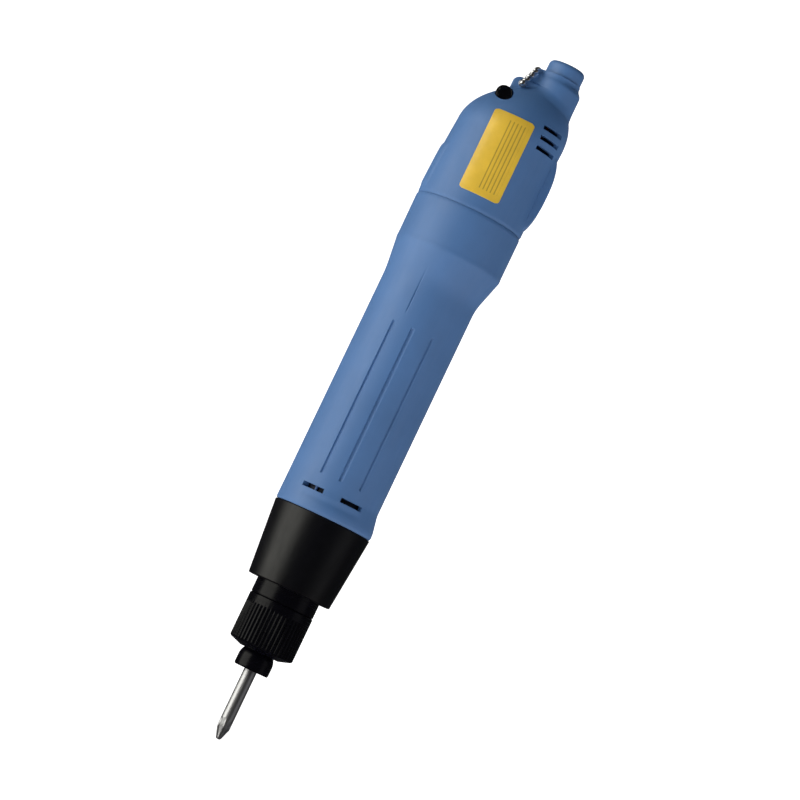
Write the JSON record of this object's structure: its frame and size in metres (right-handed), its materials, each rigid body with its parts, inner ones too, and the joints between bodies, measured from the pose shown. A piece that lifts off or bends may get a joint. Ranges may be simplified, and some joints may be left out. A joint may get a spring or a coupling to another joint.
{
  "type": "electric torque screwdriver",
  "caption": "Slim handheld electric screwdriver with torque ring, quick-change chuck, geared motor, angled head with cable socket, reverse rocker and hanging bail.",
  "frame": {"origin": "on the spindle axis at the mouth of the chuck", "axes": "+Z from the bit towards the head, the label faces -Y, and the cable socket stands on the +X side"},
  "size_m": [0.0467, 0.0441, 0.294],
  "materials": {
    "blue_shell": "moulded, fine satin",
    "black_shell": "moulded, satin",
    "black_metal": "black oxide",
    "tool_steel": "ground",
    "bright_steel": "plated",
    "label_yellow": "printed film, bare",
    "black_gloss": "polished",
    "bronze": "sintered",
    "gold_contact": "plated",
    "alloy": "turned",
    "gear_steel": "cut and hardened",
    "lamination": "stacked sheet",
    "copper_wire": "enamelled",
    "magnet": "nickel plated",
    "circuit_green": "solder mask",
    "fan_plastic": "moulded",
    "wire_red": "insulated"
  },
  "bodies": {
    "housing": {"bail_pin": "bright_steel", "barrel_housing": "blue_shell", "cable_socket": "black_shell", "cap_screws": "tool_steel", "clutch_housing": "black_metal", "clutch_ring_gear": "gear_steel", "clutch_spring": "tool_steel", "control_board": "circuit_green", "control_chip": "black_shell", "filter_capacitor": "alloy", "fixed_ring_gear": "gear_steel", "gear_divider": "gear_steel", "gearbox_cover": "alloy", "hall_board": "circuit_green", "head_cap": "blue_shell", "motor_bearings": "tool_steel", "motor_can": "tool_steel", "motor_front_cap": "alloy", "motor_mount": "alloy", "motor_rear_cap": "alloy", "motor_stator": "lamination", "nose_cone": "black_shell", "power_transistors": "black_shell", "rating_label": "label_yellow", "socket_collar": "blue_shell", "socket_contacts": "gold_contact", "socket_leads": "wire_red", "spindle_bushes": "bronze", "start_sensor": "black_shell", "stator_windings": "copper_wire", "switch_body": "black_gloss"},
    "motor_rotor": {"cooling_fan": "fan_plastic", "first_sun": "gear_steel", "motor_shaft": "tool_steel", "rotor_magnet": "magnet"},
    "first_stage": {"first_carrier": "gear_steel", "second_sun": "gear_steel"},
    "second_stage": {"second_carrier": "gear_steel", "start_spring": "tool_steel"},
    "output_spindle": {"chuck_spring": "tool_steel", "detent_balls": "tool_steel", "retaining_rings": "tool_steel", "screwdriver_bit": "tool_steel", "spindle": "black_metal", "start_magnet": "magnet"},
    "sleeve": {"chuck_sleeve": "black_metal"},
    "clutch_plate": {"clutch_balls": "tool_steel", "pin_washer": "tool_steel", "press_plate": "gear_steel", "push_pins": "tool_steel"},
    "adjuster_seat": {"spring_seat": "tool_steel"},
    "adjuster_ring": {"torque_ring": "black_metal"},
    "bail": {"hanger_bail": "bright_steel"},
    "reverse_rocker": {"switch_rocker": "black_gloss"},
    "first_wheel_a": {"first_planet_a": "gear_steel"},
    "first_wheel_b": {"first_planet_b": "gear_steel"},
    "first_wheel_c": {"first_planet_c": "gear_steel"},
    "second_wheel_a": {"second_planet_a": "gear_steel"},
    "second_wheel_b": {"second_planet_b": "gear_steel"},
    "second_wheel_c": {"second_planet_c": "gear_steel"}
  },
  "joints": [
    {"name": "motor_turn", "type": "hinge", "parent": "housing", "child": "motor_rotor", "pos_m": [0, 0, 0.1], "axis": [0, 0, 1], "continuous": true},
    {"name": "first_carrier_turn", "type": "hinge", "parent": "housing", "child": "first_stage", "pos_m": [0, 0, 0.052], "axis": [0, 0, 1], "continuous": true},
    {"name": "second_carrier_turn", "type": "hinge", "parent": "housing", "child": "second_stage", "pos_m": [0, 0, 0.042], "axis": [0, 0, 1], "continuous": true},
    {"name": "push_start", "type": "slide", "parent": "second_stage", "child": "output_spindle", "axis": [0, 0, 1], "range_m": [0, 0.002], "stiffness_N_per_m": 1500, "springref_m": -0.002, "deforming": ["start_spring"]},
    {"name": "sleeve_slide", "type": "slide", "parent": "output_spindle", "child": "sleeve", "axis": [0, 0, 1], "range_m": [0, 0.002], "stiffness_N_per_m": 1500, "springref_m": -0.002, "deforming": ["chuck_spring"]},
    {"name": "clutch_slip", "type": "slide", "parent": "housing", "child": "clutch_plate", "axis": [0, 0, -1], "range_m": [0, 0.0012], "stiffness_N_per_m": 8000, "springref_m": -0.004},
    {"name": "seat_travel", "type": "slide", "parent": "housing", "child": "adjuster_seat", "axis": [0, 0, -1], "range_m": [0, 0.004], "deforming": ["clutch_spring"]},
    {"name": "ring_turn", "type": "hinge", "parent": "adjuster_seat", "child": "adjuster_ring", "pos_m": [0, 0, 0.02], "axis": [0, 0, -1], "range_deg": [0, 1440]},
    {"name": "bail_swing", "type": "hinge", "parent": "housing", "child": "bail", "pos_m": [-0.0029, 0, 0.25], "axis": [0, -1, 0], "range_deg": [0, 100]},
    {"name": "reverse_rock", "type": "hinge", "parent": "housing", "child": "reverse_rocker", "pos_m": [-0.0078, -0.00878, 0.24364], "axis": [0.7071, 0.2185, 0.6725], "range_deg": [-8, 8]},
    {"name": "first_planet_a_turn", "type": "hinge", "parent": "first_stage", "child": "first_wheel_a", "pos_m": [0.0075, 0, 0.055], "axis": [0, 0, 1], "continuous": true},
    {"name": "first_planet_b_turn", "type": "hinge", "parent": "first_stage", "child": "first_wheel_b", "pos_m": [-0.00375, 0.0065, 0.055], "axis": [0, 0, 1], "continuous": true},
    {"name": "first_planet_c_turn", "type": "hinge", "parent": "first_stage", "child": "first_wheel_c", "pos_m": [-0.00375, -0.0065, 0.055], "axis": [0, 0, 1], "continuous": true},
    {"name": "second_planet_a_turn", "type": "hinge", "parent": "second_stage", "child": "second_wheel_a", "pos_m": [0.0075, 0, 0.047], "axis": [0, 0, 1], "continuous": true},
    {"name": "second_planet_b_turn", "type": "hinge", "parent": "second_stage", "child": "second_wheel_b", "pos_m": [-0.00375, 0.0065, 0.047], "axis": [0, 0, 1], "continuous": true},
    {"name": "second_planet_c_turn", "type": "hinge", "parent": "second_stage", "child": "second_wheel_c", "pos_m": [-0.00375, -0.0065, 0.047], "axis": [0, 0, 1], "continuous": true}
  ],
  "couplings": [
    {"joint": "first_carrier_turn", "follows": "motor_turn", "ratio": 0.25},
    {"joint": "second_carrier_turn", "follows": "motor_turn", "ratio": 0.0625},
    {"joint": "ring_turn", "follows": "seat_travel", "rad_per_m": 6283.2},
    {"joint": "first_planet_a_turn", "follows": "motor_turn", "ratio": -0.75},
    {"joint": "first_planet_b_turn", "follows": "motor_turn", "ratio": -0.75},
    {"joint": "first_planet_c_turn", "follows": "motor_turn", "ratio": -0.75},
    {"joint": "second_planet_a_turn", "follows": "motor_turn", "ratio": -0.1875},
    {"joint": "second_planet_b_turn", "follows": "motor_turn", "ratio": -0.1875},
    {"joint": "second_planet_c_turn", "follows": "motor_turn", "ratio": -0.1875}
  ]
}
